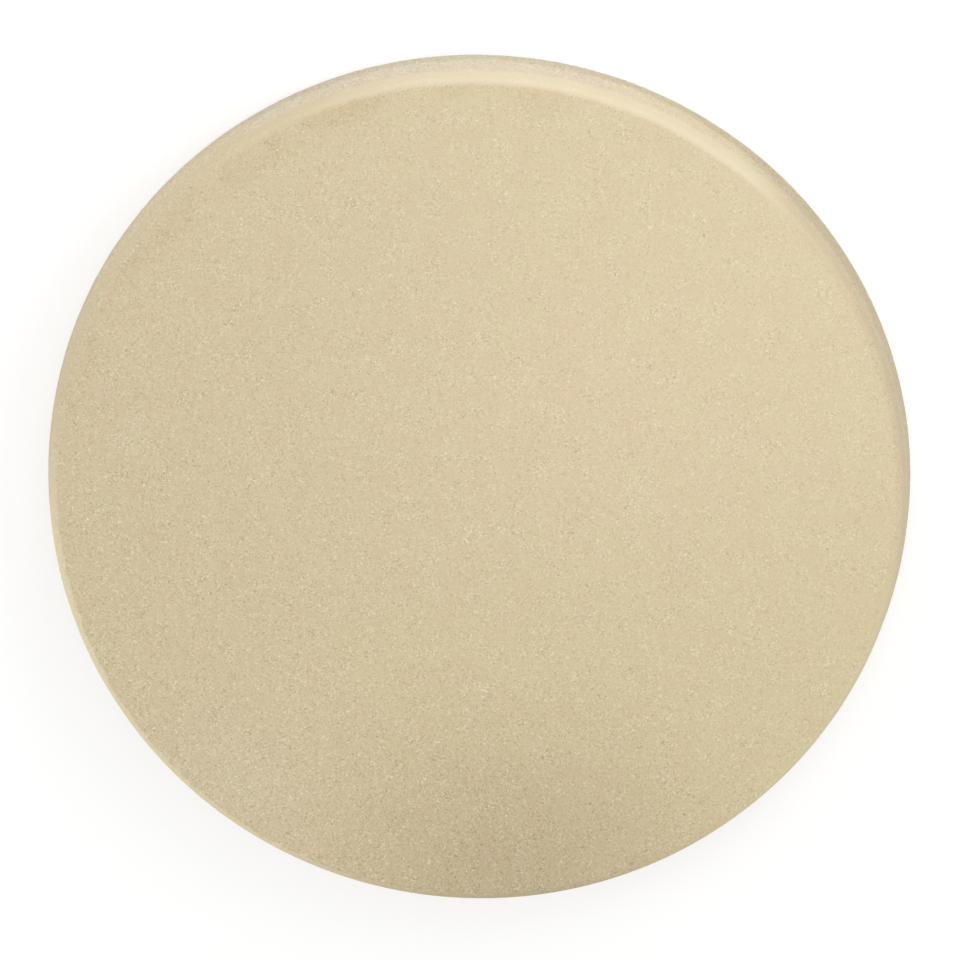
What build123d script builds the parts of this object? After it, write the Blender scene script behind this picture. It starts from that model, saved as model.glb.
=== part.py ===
from build123d import *
import os

# Round pizza stone: one disc of pale ceramic, pressed in a mould and fired.
# Millimetres, +Z up. The origin is the centre of the underside, and the baking face looks up.

# Whole stone
stone_diameter = 290
stone_thickness = 25

# Side of the stone
# From the foot up, the wall stands upright and then leans in a little.
# The smooth shoulder above it leans in further, up to the baking face.
upright_height = 8
wall_lean = 0.7
shoulder_height = 7.5
shoulder_lean = 1.4

# Roundings of the foot, the two bends of the side and the edge of the baking face
base_round = 1.4
wall_bend_round = 40
shoulder_bend_round = 12
face_round = 2.6

# Places worked out from the sizes
stone_radius = stone_diameter / 2
shoulder_z = stone_thickness - shoulder_height
wall_top_radius = stone_radius - wall_lean
face_corner_radius = wall_top_radius - shoulder_lean


def half_section():
    """Outline of the stone from the axis outwards, in the XZ plane."""
    corners = [
        (0, 0),
        (stone_radius, 0),
        (stone_radius, upright_height),
        (wall_top_radius, shoulder_z),
        (face_corner_radius, stone_thickness),
        (0, stone_thickness),
    ]
    corner_rounds = [base_round, wall_bend_round, shoulder_bend_round, face_round]
    with BuildSketch(Plane.XZ) as section:
        with BuildLine():
            FilletPolyline(*corners, radius=corner_rounds)
            Line(corners[-1], corners[0])
        make_face()
    return section.sketch


def baking_stone():
    """The whole stone: the half section turned about the upright axis."""
    with BuildPart() as stone:
        add(half_section())
        revolve(axis=Axis.Z)
    return stone.part


os.makedirs("parts", exist_ok=True)
export_step(baking_stone(), "parts/baking_stone.step")
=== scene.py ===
import math

import bpy
import numpy as np
from mathutils import Matrix, Vector, noise


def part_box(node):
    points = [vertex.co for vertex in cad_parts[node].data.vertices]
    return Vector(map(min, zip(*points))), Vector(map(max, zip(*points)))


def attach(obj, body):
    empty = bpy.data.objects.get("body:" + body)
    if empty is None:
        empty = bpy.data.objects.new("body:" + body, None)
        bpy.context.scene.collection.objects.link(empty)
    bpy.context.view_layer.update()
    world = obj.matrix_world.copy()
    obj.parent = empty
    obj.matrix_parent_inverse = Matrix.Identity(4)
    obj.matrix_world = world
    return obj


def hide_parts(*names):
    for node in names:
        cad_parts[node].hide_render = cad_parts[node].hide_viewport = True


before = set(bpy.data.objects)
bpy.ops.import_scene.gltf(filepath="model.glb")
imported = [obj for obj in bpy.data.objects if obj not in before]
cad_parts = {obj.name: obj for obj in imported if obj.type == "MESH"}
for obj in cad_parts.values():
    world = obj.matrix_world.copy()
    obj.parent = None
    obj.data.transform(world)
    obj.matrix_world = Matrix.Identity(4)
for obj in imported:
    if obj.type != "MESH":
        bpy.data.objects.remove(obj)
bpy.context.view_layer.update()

# Sizes of the stone, in metres
low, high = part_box("baking_stone")
RADIUS = (high.x - low.x) / 2
THICKNESS = high.z - low.z
SHOULDER_HEIGHT = 0.0075
SHOULDER_LEAN = 0.0014
UPRIGHT_HEIGHT = 0.0080
WALL_LEAN = 0.0007
WALL_BEND_ROUND = 0.040
SHOULDER_BEND_ROUND = 0.012
FACE_ROUND = 0.0026
BASE_ROUND = 0.0014

# Places worked out from the sizes, and the outline of the side from the top down
SHOULDER_Z = THICKNESS - SHOULDER_HEIGHT
SIDE_PATH = [
    (RADIUS - WALL_LEAN - SHOULDER_LEAN, THICKNESS),
    (RADIUS - WALL_LEAN, SHOULDER_Z),
    (RADIUS, UPRIGHT_HEIGHT),
    (RADIUS, 0.0),
]
SIDE_ROUNDS = [FACE_ROUND, SHOULDER_BEND_ROUND, WALL_BEND_ROUND, BASE_ROUND]

# How finely the mesh is divided, in metres, and how many points lie round the rim
SIDE_STEP = 0.0008
ARC_DIVISIONS = 6
FLAT_STEP_FIRST = 0.0005
FLAT_STEP_GROWTH = 1.16
FLAT_STEP_LAST = 0.005
RIM_POINTS = 1440

# A ring of a flat face has half as many points where they lie closer than this share of its width
CROWDED_SHARE = 0.7


def outward(start, end):
    """Angle of the outward normal of a stretch of the outline that runs from the top down."""
    return math.atan2(end[0] - start[0], start[1] - end[1])


def straight(station, end, angle):
    """Stations from one station towards the end of a straight stretch, without the end."""
    r0, z0 = station[:2]
    length = math.hypot(end[0] - r0, end[1] - z0)
    count = max(1, round(length / SIDE_STEP))
    normal = (math.cos(angle), math.sin(angle))
    made = []
    for i in range(count):
        t = i / count
        made.append((r0 + (end[0] - r0) * t, z0 + (end[1] - z0) * t, *normal))
    return made


def rounded_corner(corner, round_radius, first, last):
    """Stations round a corner of the outline, between two outward angles."""
    tangent = round_radius * math.tan((first - last) / 2)
    middle_r = corner[0] - tangent * math.sin(first) - round_radius * math.cos(first)
    middle_z = corner[1] + tangent * math.cos(first) - round_radius * math.sin(first)
    step = min(SIDE_STEP, round_radius / ARC_DIVISIONS)
    count = max(2, round((first - last) * round_radius / step))
    made = []
    for i in range(count + 1):
        angle = first + (last - first) * i / count
        nr, nz = math.cos(angle), math.sin(angle)
        made.append((middle_r + round_radius * nr, middle_z + round_radius * nz, nr, nz))
    return made


def rim_stations():
    """Radius, height and outward normal down the side, from the baking face to the underside."""
    outline = [(0.0, THICKNESS), *SIDE_PATH, (0.0, 0.0)]
    made = []
    for before, corner, after, size in zip(outline, outline[1:], outline[2:], SIDE_ROUNDS):
        first, last = outward(before, corner), outward(corner, after)
        arc = rounded_corner(corner, size, first, last)
        if made:
            made += straight(made.pop(), arc[0], first)
        made += arc
    return made


RIM = rim_stations()
FACE_EDGE = RIM[0][0]
BASE_EDGE = RIM[-1][0]


def flat_rings(first_radius):
    """Ring radii from the edge of a flat face inwards, finer near the edge."""
    radii = []
    step = FLAT_STEP_FIRST
    radius = first_radius - step
    while radius > step:
        radii.append(radius)
        step = min(step * FLAT_STEP_GROWTH, FLAT_STEP_LAST)
        radius -= step
    return radii


class Lathe:
    """Points and faces of rings turned about Z, each with its own number of points."""

    def __init__(self):
        self.points = []
        self.normals = []
        self.faces = []
        self.last = None

    def ring(self, radius, z, nr, nz, count):
        """One more ring, joined to the last one."""
        start = len(self.points)
        for i in range(count):
            turn = math.tau * i / count
            c, s = math.cos(turn), math.sin(turn)
            self.points.append((radius * c, radius * s, z))
            self.normals.append((nr * c, nr * s, nz))
        if self.last is not None:
            self.join(self.last, (start, count))
        self.last = (start, count)

    def join(self, outer, inner):
        """Quads between rings of like count, or triangles where the count halves."""
        (a, n), (b, m) = outer, inner
        for i in range(m):
            j = (i + 1) % m
            if n == m:
                self.faces.append((a + i, a + j, b + j, b + i))
            else:
                p, q, r = a + 2 * i, a + 2 * i + 1, a + (2 * i + 2) % n
                self.faces += [(p, q, b + i), (q, b + j, b + i), (q, r, b + j)]

    def flat(self, edge_radius, z, nz):
        """A flat face from its edge to the axis, with fewer points in the smaller rings."""
        before = edge_radius
        count = self.last[1]
        for radius in flat_rings(edge_radius):
            if count % 2 == 0 and math.tau * radius / count < (before - radius) * CROWDED_SHARE:
                count //= 2
            self.ring(radius, z, 0.0, nz, count)
            before = radius
        start, count = self.last
        middle = len(self.points)
        self.points.append((0.0, 0.0, z))
        self.normals.append((0.0, 0.0, nz))
        for i in range(count):
            self.faces.append((start + i, start + (i + 1) % count, middle))


def stone_skin():
    """The whole skin of the stone: the side from the foot up, the baking face, the underside."""
    skin = Lathe()
    for station in reversed(RIM):
        skin.ring(*station, RIM_POINTS)
    skin.flat(FACE_EDGE, THICKNESS, 1.0)
    above = len(skin.faces)
    skin.last = (0, RIM_POINTS)
    skin.flat(BASE_EDGE, 0.0, -1.0)
    skin.faces[above:] = [tuple(reversed(face)) for face in skin.faces[above:]]
    return skin


# Unevenness of the skin: for each layer of lumps its depth and width in metres, and its seed
SWELL = (0.00003, 0.085, 1)
SIDE_LAYERS = [(0.00006, 0.011, 2), (0.00005, 0.0034, 3), (0.00005, 0.0017, 4)]

# Pits of the side, in metres, and the share of the places that have one
PIT_DEPTH = 0.00030
PIT_SPACING = 0.0075
PIT_SHARE = 0.35
PIT_RADII = (0.0006, 0.0015)
PIT_SEED = 5

# How much smoother the shoulder is than the wall, and the wandering border between them
SHOULDER_SMOOTHNESS = 0.85
SHOULDER_WANDER = (0.0015, 0.009, 6)
SMOOTHER_FROM = SHOULDER_Z - 0.0015
SMOOTHER_TO = SHOULDER_Z + 0.0010

# Steps from one seed's noise to the next one's, and the scale of the random pick of pits
FIELD_SHIFT = (7.13, 3.71, 5.29)
PIT_SHIFT = (2.17, 9.41, 4.63)
PICK_SCALE = 7.7

# A point lies on one of the two flat faces where its normal is more upright than this
FLAT_NORMAL = 0.999


def eased(values, start, end):
    """From 0 at start to 1 at end, eased at both."""
    t = np.clip((values - start) / (end - start), 0, 1)
    return t * t * (3 - 2 * t)


def field(points, size, seed):
    """Smooth noise from about -1 to 1 at each point, whose lumps are of the given size."""
    offset = Vector([seed * shift for shift in FIELD_SHIFT])
    return np.array([noise.noise(Vector(p) / size + offset) for p in points])


def lump_layer(points, depth, size, seed):
    """How deep one layer of lumps sets each point in, about the given depth on average."""
    return depth * (1 + field(points, size, seed))


def pits(points):
    """From 0 to 1, how deep each point lies in a small round pit."""
    offset = Vector([PIT_SEED * shift for shift in PIT_SHIFT])
    smallest, largest = PIT_RADII
    depth = np.zeros(len(points))
    for i, p in enumerate(points):
        distances, centres = noise.voronoi(Vector(p) / PIT_SPACING + offset)
        pick = noise.cell(centres[0] * PICK_SCALE)
        if pick < PIT_SHARE:
            radius = (smallest + (largest - smallest) * pick / PIT_SHARE) / PIT_SPACING
            depth[i] = max(0.0, 1 - (distances[0] / radius) ** 2)
    return depth


def relief(points, normals):
    """How far each point of the skin lies inside the ideal shape, in metres."""
    inset = lump_layer(points, *SWELL)
    side = np.abs(normals[:, 2]) < FLAT_NORMAL
    at = points[side]
    rough = sum(lump_layer(at, *layer) for layer in SIDE_LAYERS)
    rough += PIT_DEPTH * pits(at)
    wander, size, seed = SHOULDER_WANDER
    ragged_z = at[:, 2] + wander * field(at, size, seed)
    inset[side] += rough * (1 - SHOULDER_SMOOTHNESS * eased(ragged_z, SMOOTHER_FROM, SMOOTHER_TO))
    return inset


def make_stone(material):
    """The stone as one closed mesh with its real unevenness."""
    skin = stone_skin()
    points = np.array(skin.points)
    normals = np.array(skin.normals)
    points -= normals * relief(points, normals)[:, None]
    mesh = bpy.data.meshes.new("stone")
    mesh.from_pydata(points.tolist(), [], skin.faces)
    mesh.polygons.foreach_set("use_smooth", [True] * len(mesh.polygons))
    mesh.materials.append(material)
    mesh.update()
    stone = bpy.data.objects.new("stone", mesh)
    bpy.context.scene.collection.objects.link(stone)
    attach(stone, "root")
    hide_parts("baking_stone")


def add_node(tree, kind, sockets=None, **settings):
    """A node with its settings, and its sockets set to values or linked to other sockets."""
    made = tree.nodes.new(kind)
    for name, value in settings.items():
        setattr(made, name, value)
    for name, value in (sockets or {}).items():
        if isinstance(value, bpy.types.NodeSocket):
            tree.links.new(value, made.inputs[name])
        else:
            made.inputs[name].default_value = value
    return made


def direction(azimuth, elevation):
    """Unit vector from the stone, azimuth counter-clockwise from +X, both in degrees."""
    a, e = math.radians(azimuth), math.radians(elevation)
    return Vector((math.cos(a) * math.cos(e), math.sin(a) * math.cos(e), math.sin(e)))


# Colours of the ceramic, as linear red, green and blue
FACE_COLOUR = (0.690, 0.580, 0.379)
SIDE_COLOUR = (0.662, 0.556, 0.367)
# Painted shade: the darker shoulder on one side
SHADED_SHOULDER_COLOUR = (0.625, 0.524, 0.346)
# Painted highlight: the paler, whiter shoulder on the side the light comes from
HIGHLIT_SHOULDER_COLOUR = (0.715, 0.616, 0.430)
# Painted light: the pale edge where light from low on one side falls on it
LIT_EDGE_COLOUR = (0.800, 0.700, 0.480)
WALL_COLOUR = (0.688, 0.579, 0.388)
# Painted shade: the darker wall on one side
SHADED_WALL_COLOUR = (0.645, 0.545, 0.366)
DUSTY_WALL_COLOUR = (0.680, 0.589, 0.438)
# Painted shade: the darker foot of the wall near the floor, also where the wall is dusty
SHADED_FOOT_COLOUR = (0.568, 0.478, 0.318)
DUSTY_SHADED_FOOT_COLOUR = (0.602, 0.522, 0.385)

# Tints, which multiply a colour, and drifts and grain tints, which are added by a varying amount
# The darker, slightly browner patch near the -Y edge, on the face and the shoulder
DARK_PATCH_TINT = (0.820, 0.806, 0.800)
PALE_MIDDLE_TINT = (1.032, 1.018, 1.028)
GREYER_TINT = (1.000, 1.004, 1.062)
WARM_TINT = (0.950, 0.912, 0.888)
MOTTLE_DRIFT = (0.0, 0.085, 0.050)
YELLOW_DRIFT = (0.0, -0.002, -0.040)
GRAIN_TINT = (0.660, 0.660, 0.600)
STRONG_GRAIN_TINT = (0.0, 0.030, 0.500)

# Patches of the baking face: their middles and how far they reach along X and Y, in metres
DARK_PATCH_PLACE = (0.015, -0.145, 0.0)
DARK_PATCH_REACH = (0.104, 0.092)
PALE_MIDDLE_PLACE = (0.038, 0.028, 0.0)
PALE_MIDDLE_REACH = (0.110, 0.085)
GREYER_PLACE = (-0.090, -0.110, 0.0)
GREYER_REACH = (0.075, 0.075)

# Sides of the stone: an azimuth, how far to each side of it a look begins, and how far it is full
# Where the pale edge of painted light is, and where it is fainter
LIT_EDGE_SIDE = (230, 66, 28)
FAINTER_LIT_EDGE_SIDE = (315, 42, 15)
SMOOTH_SIDE = (80, 55, 32)
WARM_SIDE = (115, 70, 25)
# Where the shoulder's painted highlight is
HIGHLIT_SHOULDER_SIDE = (72, 45, 20)
# Where the shoulder's painted shade is
SHADED_SHOULDER_SIDE = (24, 27, 14)
DUSTY_WALL_SIDE = (95, 34, 10)
# Where the wall's painted shade is
SHADED_WALL_SIDE = (30, 25, 12)
CRUSTED_SIDE = (95, 45, 15)
# Where the foot's painted shade is dusty, and where it fades or reaches higher
DUSTY_SHADED_FOOT_SIDE = (110, 55, 10)
FAINT_FOOT_SHADE_SIDES = [(350, 45, 20), (160, 45, 20)]
HIGH_FOOT_SHADE_SIDE = (15, 48, 15)
# How strong the fainter painted light on the edge is
FAINTER_LIT_EDGE = 0.4
# How much the foot's painted shade fades on two sides
FAINT_FOOT_SHADE = 0.7

# Sizes of the ceramic's clumps and grains, in metres, and how fine the noise in them is
SAND_SIZE = 0.00043
BEND_SIZE = 0.0012
BEND_REACH = 0.0012
CLUMP_SIZE = 0.0016
CRUST_SIZE = 0.0024
SWATH_SIZE = 0.0060
MOTTLE_SIZE = 0.0120
STAIN_SIZE = 0.024
SPECK_SPACING = 0.0022
FINE_DETAIL = 3.0
PLAIN_DETAIL = 2.0
SMOOTH_DETAIL = 1.0
DETAIL_STRENGTH = 0.6

# Borders between the parts of the skin, in metres from the axis or above the underside
EDGE_BEGINS = FACE_EDGE - 0.0004
EDGE_ENDS = FACE_EDGE + 0.0010
WALL_BEGINS = SHOULDER_Z + 0.0014
WALL_ENDS = SHOULDER_Z - 0.0014
BASE_BEGINS = BASE_EDGE - 0.0030
WARM_BEGINS = FACE_EDGE - 0.012
WARM_ENDS = FACE_EDGE - 0.002
# Where the painted shade of the foot begins and is full, and how much higher it reaches on one side
FOOT_SHADE_BEGINS = 0.0105
FOOT_SHADE_ENDS = 0.0055
FOOT_SHADE_RISE = 0.0065

# Where the face turns yellower, in metres along Y
YELLOW_BEGINS = 0.030
YELLOW_ENDS = -0.100

# How far noise shifts the borders, in metres, and the edges of the patches, as a share of their reach
RAGGED_ROUND_FACE = 0.0024
RAGGED_ROUND_WALL = 0.0060
FOOT_RAGGEDNESS = 0.0080
PATCH_RAGGEDNESS = 0.15

# How much of the raggedness comes from clumps, and between which values of the stains it is warm
RAGGED_BY_CLUMPS = 0.45
WARM_STAINS = (-0.10, 0.12)

# Grain: its strengths, and where it is denser or thinner, THINNING being for each metre along X and Y
SAND_STRENGTH = 0.179
CLUMP_STRENGTH = 0.05
CRUST_STRENGTH = 0.22
SWATH_DENSITY = 2.6
THINNING = 1.5
SMOOTH_THINNING = 0.62
WALL_DENSITY = 0.5
LEAST_DENSITY = 0.15

# Specks: their outer and inner radii as shares of the spacing, how rare and how strong they are
SPECK_RADIUS_SHARES = (0.17, 0.09)
SPECK_RARITY = 0.62
LIGHT_SPECK_STRENGTH = 0.085
DARK_SPECK_STRENGTH = 0.14

# Roughness of the finish, and the relief of sand and clumps
DULLNESS = 0.90
CLUMP_DULLNESS = 0.10
SMOOTH_SHINE = 0.10
CLUMP_HEIGHT = 2.0
RELIEF_HEIGHT = 0.00005


def tinted(colour, tint):
    """A colour times a tint."""
    return tuple(c * t for c, t in zip(colour, tint))


class Nodes:
    """Adds nodes to a material, which read only the place on the stone."""

    def __init__(self, tree):
        self.tree = tree
        self.place = add_node(tree, "ShaderNodeTexCoord").outputs["Object"]

    def calc(self, operation, first, second=0.0, third=0.0, clamp=False):
        """One sum on numbers."""
        sockets = {0: first, 1: second, 2: third}
        node = add_node(self.tree, "ShaderNodeMath", sockets, operation=operation, use_clamp=clamp)
        return node.outputs[0]

    def vector(self, operation, first, second=(0.0, 0.0, 0.0), third=(0.0, 0.0, 0.0)):
        """A vector sum, or where the operation gives a number, that number."""
        sockets = {0: first, 1: second, 2: third}
        node = add_node(self.tree, "ShaderNodeVectorMath", sockets, operation=operation)
        return node.outputs["Value" if operation in ("LENGTH", "DOT_PRODUCT") else "Vector"]

    def ramp(self, value, start, end):
        """From 0 at start to 1 at end, eased at both."""
        sockets = {"Value": value, "From Min": start, "From Max": end}
        node = add_node(self.tree, "ShaderNodeMapRange", sockets, interpolation_type="SMOOTHSTEP")
        return node.outputs["Result"]

    def mix(self, amount, first, second):
        """From the first colour, where the amount is 0, to the second, where it is 1."""
        sockets = {0: amount}
        for index, colour in ((6, first), (7, second)):
            sockets[index] = (*colour, 1.0) if isinstance(colour, tuple) else colour
        return add_node(self.tree, "ShaderNodeMix", sockets, data_type="RGBA").outputs[2]

    def clumps(self, size, detail=PLAIN_DETAIL):
        """Soft noise around 0, whose lumps are of the given size."""
        sockets = {"Vector": self.place, "Scale": 1 / size, "Detail": detail, "Roughness": DETAIL_STRENGTH}
        node = add_node(self.tree, "ShaderNodeTexNoise", sockets)
        return self.calc("SUBTRACT", node.outputs["Fac"], 0.5)

    def grains(self, place, size):
        """Cells: a random number of each from -1 to 1, and the distance from its middle."""
        cells = add_node(self.tree, "ShaderNodeTexVoronoi", {"Vector": place, "Scale": 1 / size})
        parts = add_node(self.tree, "ShaderNodeSeparateColor", {"Color": cells.outputs["Color"]})
        return self.calc("MULTIPLY_ADD", parts.outputs[0], 2.0, -1.0), cells.outputs["Distance"]


class Ceramic(Nodes):
    """Where each part of the stone's skin lies, from 0 to 1, and how it looks there."""

    def __init__(self, tree):
        """Works out once what several of the looks share."""
        super().__init__(tree)
        self.x, self.y, self.z = add_node(tree, "ShaderNodeSeparateXYZ", {"Vector": self.place}).outputs
        flat_place = self.vector("MULTIPLY", self.place, (1.0, 1.0, 0.0))
        self.radius = self.vector("LENGTH", flat_place)
        self.outwards = self.vector("NORMALIZE", flat_place)
        self.swaths = self.clumps(SWATH_SIZE)
        self.stain = self.clumps(STAIN_SIZE, FINE_DETAIL)
        self.lumps = self.clumps(CLUMP_SIZE)
        self.find_parts()
        self.density = self.grain_density()
        self.bent_place = self.bend()
        self.sand, self.sand_distance = self.grains(self.bent_place, SAND_SIZE)
        self.dark_patch = self.patch(DARK_PATCH_PLACE, DARK_PATCH_REACH)
        self.dark_patch_colour = tinted(FACE_COLOUR, DARK_PATCH_TINT)

    def towards(self, side):
        """From 0 where the look of a side begins to 1 where it is full."""
        azimuth, far, near = side
        cosine = self.vector("DOT_PRODUCT", self.outwards, tuple(direction(azimuth, 0)))
        return self.ramp(cosine, math.cos(math.radians(far)), math.cos(math.radians(near)))

    def patch(self, middle, reach):
        """A soft oval patch with a ragged edge, from 1 in its middle to 0 at its reach."""
        off = self.vector("SUBTRACT", self.place, middle)
        off = self.vector("MULTIPLY", off, (1 / reach[0], 1 / reach[1], 0.0))
        distance = self.calc("MULTIPLY_ADD", self.stain, PATCH_RAGGEDNESS, self.vector("LENGTH", off))
        return self.ramp(distance, 1.0, 0.0)

    def bend(self):
        """The place, bent by noise, so that the grains in it aren't plain cells."""
        sockets = {"Vector": self.place, "Scale": 1 / BEND_SIZE, "Detail": SMOOTH_DETAIL}
        bending = add_node(self.tree, "ShaderNodeTexNoise", sockets).outputs["Color"]
        return self.vector("MULTIPLY_ADD", bending, (BEND_REACH,) * 3, self.place)

    def find_parts(self):
        """The wall, the shoulder, its edge with painted light from low on one side and fainter on another,
        and all of it that is smooth.
        """
        upper = self.calc("GREATER_THAN", self.z, THICKNESS / 2)
        ragged = self.calc("MULTIPLY_ADD", self.lumps, RAGGED_BY_CLUMPS, self.swaths)
        ragged_radius = self.calc("MULTIPLY_ADD", ragged, RAGGED_ROUND_FACE, self.radius)
        ragged_z = self.calc("MULTIPLY_ADD", ragged, RAGGED_ROUND_WALL, self.z)
        off_face = self.calc("MULTIPLY", self.ramp(ragged_radius, EDGE_BEGINS, EDGE_ENDS), upper)
        off_base = self.calc("MAXIMUM", self.ramp(self.radius, BASE_BEGINS, BASE_EDGE), upper)
        self.wall = self.calc("MULTIPLY", self.ramp(ragged_z, WALL_BEGINS, WALL_ENDS), off_base)
        self.shoulder = self.calc("SUBTRACT", off_face, self.wall, clamp=True)
        # Painted light along the edge, from low on one side and fainter on another
        fainter_lit_edge = self.calc("MULTIPLY", self.towards(FAINTER_LIT_EDGE_SIDE), FAINTER_LIT_EDGE)
        lit_edge_sides = self.calc("MAXIMUM", self.towards(LIT_EDGE_SIDE), fainter_lit_edge)
        self.lit_edge = self.calc("MULTIPLY", self.ramp(ragged_radius, FACE_EDGE, EDGE_ENDS), lit_edge_sides)
        smooth_sides = self.calc("MAXIMUM", self.towards(SMOOTH_SIDE), self.lit_edge)
        self.smooth = self.calc("MULTIPLY", self.shoulder, smooth_sides)

    def grain_density(self):
        """How strongly the grain shows, about 1 on the baking face."""
        density = self.calc("MULTIPLY_ADD", self.swaths, SWATH_DENSITY, 1.0)
        density = self.calc("MULTIPLY_ADD", self.calc("ADD", self.x, self.y), -THINNING, density)
        density = self.calc("MULTIPLY_ADD", self.smooth, -SMOOTH_THINNING, density)
        density = self.calc("MULTIPLY_ADD", self.wall, WALL_DENSITY, density)
        return self.calc("MAXIMUM", density, LEAST_DENSITY)

    def specks(self):
        """Scattered specks, above 0 where they are light and below 0 where they are dark."""
        speck, distance = self.grains(self.bent_place, SPECK_SPACING)
        dot = self.ramp(distance, *SPECK_RADIUS_SHARES)
        dark = self.calc("MULTIPLY", dot, self.calc("GREATER_THAN", speck, SPECK_RARITY))
        light = self.calc("MULTIPLY", dot, self.calc("LESS_THAN", speck, -SPECK_RARITY))
        light = self.calc("MULTIPLY", light, LIGHT_SPECK_STRENGTH)
        specks = self.calc("MULTIPLY_ADD", dark, -DARK_SPECK_STRENGTH, light)
        return self.calc("MULTIPLY", specks, self.density)

    def grain(self):
        """Sand, most of it near the ground colour, with clumps, crust on the wall, and specks."""
        squared = self.calc("MULTIPLY", self.sand, self.sand)
        grain = self.calc("MULTIPLY", self.calc("MULTIPLY", squared, self.sand), SAND_STRENGTH)
        grain = self.calc("MULTIPLY_ADD", self.lumps, CLUMP_STRENGTH, grain)
        grain = self.calc("MULTIPLY", grain, self.density)
        crusted = self.calc("MULTIPLY", self.wall, self.towards(CRUSTED_SIDE))
        crust = self.calc("MULTIPLY", self.clumps(CRUST_SIZE), crusted)
        grain = self.calc("MULTIPLY_ADD", crust, CRUST_STRENGTH, grain)
        return self.calc("ADD", grain, self.specks())

    def face_colour(self):
        """The baking face: warmer at one edge, paler in the middle, and greyer and darker in patches."""
        near_edge = self.ramp(self.radius, WARM_BEGINS, WARM_ENDS)
        warm = self.calc("MULTIPLY", near_edge, self.ramp(self.stain, *WARM_STAINS))
        warm = self.calc("MULTIPLY", warm, self.towards(WARM_SIDE))
        colour = self.mix(warm, FACE_COLOUR, tinted(FACE_COLOUR, WARM_TINT))
        middle = self.patch(PALE_MIDDLE_PLACE, PALE_MIDDLE_REACH)
        colour = self.mix(middle, colour, tinted(FACE_COLOUR, PALE_MIDDLE_TINT))
        greyer = self.patch(GREYER_PLACE, GREYER_REACH)
        colour = self.mix(greyer, colour, tinted(FACE_COLOUR, GREYER_TINT))
        return self.mix(self.dark_patch, colour, self.dark_patch_colour)

    def shoulder_colour(self):
        """The edge and the shoulder: a painted highlight on one side, painted shade on another, and painted
        light along the edge on others.
        """
        colour = self.mix(self.towards(HIGHLIT_SHOULDER_SIDE), SIDE_COLOUR, HIGHLIT_SHOULDER_COLOUR)
        colour = self.mix(self.towards(SHADED_SHOULDER_SIDE), colour, SHADED_SHOULDER_COLOUR)
        colour = self.mix(self.lit_edge, colour, LIT_EDGE_COLOUR)
        return self.mix(self.dark_patch, colour, self.dark_patch_colour)

    def wall_colour(self):
        """The wall: painted shade darkening it towards the foot, reaching higher on one side and fainter on
        two others, dusty on one side, and painted shade on another side.
        """
        foot_shade_rise = self.calc("MULTIPLY", self.towards(HIGH_FOOT_SHADE_SIDE), -FOOT_SHADE_RISE)
        foot_z = self.calc("ADD", self.z, foot_shade_rise)
        ragged_foot = self.calc("MULTIPLY_ADD", self.stain, FOOT_RAGGEDNESS, foot_z)
        foot = self.ramp(ragged_foot, FOOT_SHADE_BEGINS, FOOT_SHADE_ENDS)
        faint_foot_shade = self.calc("MAXIMUM", *[self.towards(side) for side in FAINT_FOOT_SHADE_SIDES])
        foot = self.calc("MULTIPLY", foot, self.calc("MULTIPLY_ADD", faint_foot_shade, -FAINT_FOOT_SHADE, 1.0))
        wall = self.mix(self.towards(DUSTY_WALL_SIDE), WALL_COLOUR, DUSTY_WALL_COLOUR)
        wall = self.mix(self.towards(SHADED_WALL_SIDE), wall, SHADED_WALL_COLOUR)
        return self.mix(foot, wall, self.mix(self.towards(DUSTY_SHADED_FOOT_SIDE), SHADED_FOOT_COLOUR, DUSTY_SHADED_FOOT_COLOUR))

    def colour(self):
        """The colours of all parts, with a faint drift of the hue, and the grain over it all."""
        colour = self.mix(self.shoulder, self.face_colour(), self.shoulder_colour())
        colour = self.mix(self.wall, colour, self.wall_colour())
        mottle = self.clumps(MOTTLE_SIZE, SMOOTH_DETAIL)
        drift = self.vector("MULTIPLY_ADD", mottle, MOTTLE_DRIFT, (1.0, 1.0, 1.0))
        yellow = self.ramp(self.y, YELLOW_BEGINS, YELLOW_ENDS)
        drift = self.vector("MULTIPLY_ADD", yellow, YELLOW_DRIFT, drift)
        colour = self.vector("MULTIPLY", colour, drift)
        grain = self.grain()
        strong = self.calc("MULTIPLY", grain, grain)
        colour = self.vector("MULTIPLY_ADD", strong, STRONG_GRAIN_TINT, colour)
        return self.vector("MULTIPLY_ADD", grain, GRAIN_TINT, colour)

    def roughness(self):
        """Dull, a little less so where it is smooth."""
        dullness = self.calc("MULTIPLY_ADD", self.lumps, CLUMP_DULLNESS, DULLNESS)
        return self.calc("MULTIPLY_ADD", self.smooth, -SMOOTH_SHINE, dullness, clamp=True)

    def normal(self):
        """The fine relief of sand and clumps."""
        height = self.calc("MULTIPLY_ADD", self.lumps, CLUMP_HEIGHT, self.sand_distance)
        height = self.calc("MULTIPLY", height, self.density)
        sockets = {"Strength": 1.0, "Distance": RELIEF_HEIGHT, "Height": height}
        return add_node(self.tree, "ShaderNodeBump", sockets).outputs["Normal"]


def make_ceramic():
    """Pale sandy ceramic: even grain, a smooth edge and shoulder and a rough, dusty wall."""
    material = bpy.data.materials.new("sandy_ceramic")
    material.use_nodes = True
    tree = material.node_tree
    shader = tree.nodes["Principled BSDF"]
    ceramic = Ceramic(tree)
    tree.links.new(ceramic.colour(), shader.inputs["Base Color"])
    tree.links.new(ceramic.roughness(), shader.inputs["Roughness"])
    tree.links.new(ceramic.normal(), shader.inputs["Normal"])
    return material


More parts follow.
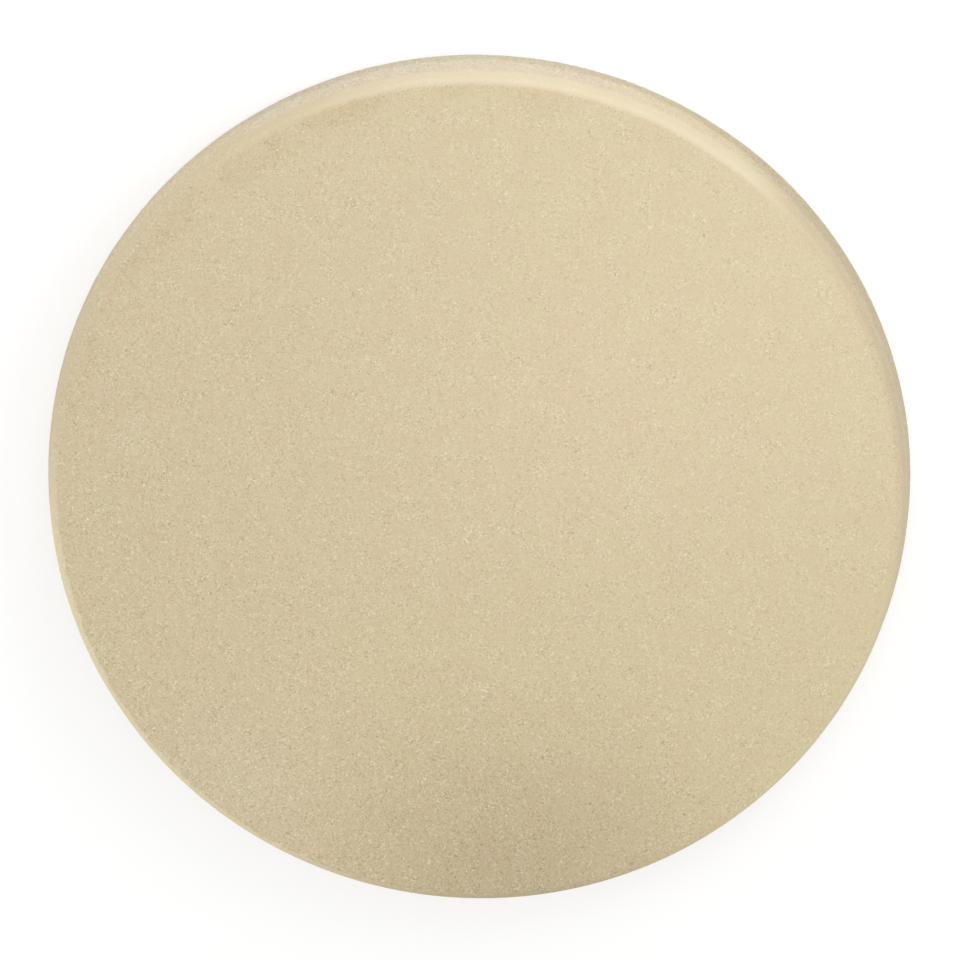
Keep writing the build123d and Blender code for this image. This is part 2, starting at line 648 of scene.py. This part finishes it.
# Floor and world: colours, strengths, and the floor's width in metres
WHITE = (1.0, 1.0, 1.0, 1.0)
FLOOR_COLOUR = (0.75, 0.75, 0.75, 1.0)
SHOWN_FLOOR_COLOUR = (0.45, 0.45, 0.45, 1.0)
SHOWN_FLOOR_GLOW = 0.62
FLOOR_WIDTH = 8.0
WORLD_LIGHT = 0.77
WORLD_WHITE = 1.0


def shown_to(tree, rays, plain, shown):
    """A shader that these rays see as shown and all other rays as plain."""
    sockets = {0: rays, 1: plain.outputs[0], 2: shown.outputs[0]}
    return add_node(tree, "ShaderNodeMixShader", sockets).outputs[0]


def floor_material():
    """Plain pale grey, which the camera sees as white with the stone's shadow on it."""
    material = bpy.data.materials.new("floor")
    material.use_nodes = True
    tree = material.node_tree
    tree.nodes.clear()
    path = add_node(tree, "ShaderNodeLightPath").outputs
    sockets = {0: path["Is Camera Ray"], 1: path["Is Glossy Ray"]}
    seen = add_node(tree, "ShaderNodeMath", sockets, operation="MAXIMUM").outputs[0]
    plain = add_node(tree, "ShaderNodeBsdfDiffuse", {"Color": FLOOR_COLOUR})
    grey = add_node(tree, "ShaderNodeBsdfDiffuse", {"Color": SHOWN_FLOOR_COLOUR})
    glow = add_node(tree, "ShaderNodeEmission", {"Color": WHITE, "Strength": SHOWN_FLOOR_GLOW})
    both = add_node(tree, "ShaderNodeAddShader", {0: grey.outputs[0], 1: glow.outputs[0]})
    add_node(tree, "ShaderNodeOutputMaterial", {"Surface": shown_to(tree, seen, plain, both)})
    return material


def make_floor():
    """A plain floor under the stone."""
    bpy.ops.mesh.primitive_plane_add(size=FLOOR_WIDTH, location=(0, 0, 0))
    floor = bpy.context.object
    floor.name = "floor"
    floor.data.materials.append(floor_material())


def make_world():
    """Even white light from all round, which the camera sees as plain white."""
    world = bpy.data.worlds.new("studio")
    world.use_nodes = True
    tree = world.node_tree
    tree.nodes.clear()
    seen = add_node(tree, "ShaderNodeLightPath").outputs["Is Camera Ray"]
    light = add_node(tree, "ShaderNodeBackground", {"Color": WHITE, "Strength": WORLD_LIGHT})
    white = add_node(tree, "ShaderNodeBackground", {"Color": WHITE, "Strength": WORLD_WHITE})
    add_node(tree, "ShaderNodeOutputWorld", {"Surface": shown_to(tree, seen, light, white)})
    bpy.context.scene.world = world


# Lamps: azimuth and elevation in degrees, distance and width in metres, and power in watts
LAMPS = {
    "key": (40, 50, 0.45, 0.25, 0.39),
    "back": (90, 12, 0.70, 0.30, 1.03),
    "left": (190, 6, 0.90, 0.17, 1.10),
    "right": (325, 6, 0.90, 0.17, 0.45),
}


def make_lamp(name, azimuth, elevation, distance, width, power):
    """A round soft lamp that points at the middle of the underside."""
    light = bpy.data.lights.new(name, "AREA")
    light.shape = "DISK"
    light.size = width
    light.energy = power
    lamp = bpy.data.objects.new(name, light)
    towards = direction(azimuth, elevation)
    lamp.location = towards * distance
    lamp.rotation_mode = "QUATERNION"
    lamp.rotation_quaternion = towards.to_track_quat("Z", "Y")
    bpy.context.scene.collection.objects.link(lamp)


# Camera: looks down on the baking face, leaning towards the top of the picture. Degrees and metres.
CAMERA_AZIMUTH = 83
CAMERA_TILT = 15.5
CAMERA_DISTANCE = 3.0
CAMERA_REACH = 20
PICTURE_WIDTH = 0.3226
PICTURE_CENTRE = (0.0005, -0.0003)


def make_camera():
    """A camera without perspective, with +Y up in its picture."""
    data = bpy.data.cameras.new("camera")
    data.type = "ORTHO"
    data.ortho_scale = PICTURE_WIDTH
    data.clip_end = CAMERA_REACH
    camera = bpy.data.objects.new("camera", data)
    back = direction(CAMERA_AZIMUTH, 90 - CAMERA_TILT)
    up = Vector((0, 1, 0))
    up = (up - back * up.dot(back)).normalized()
    right = up.cross(back)
    turn = Matrix((right, up, back)).transposed()
    middle = Vector((0, 0, THICKNESS / 2)) + right * PICTURE_CENTRE[0] + up * PICTURE_CENTRE[1]
    camera.matrix_world = Matrix.Translation(middle + back * CAMERA_DISTANCE) @ turn.to_4x4()
    bpy.context.scene.collection.objects.link(camera)
    bpy.context.scene.camera = camera


make_camera()
make_world()
for lamp_name, lamp_values in LAMPS.items():
    make_lamp(lamp_name, *lamp_values)
make_floor()
make_stone(make_ceramic())

bpy.context.scene.view_settings.view_transform = "Standard"
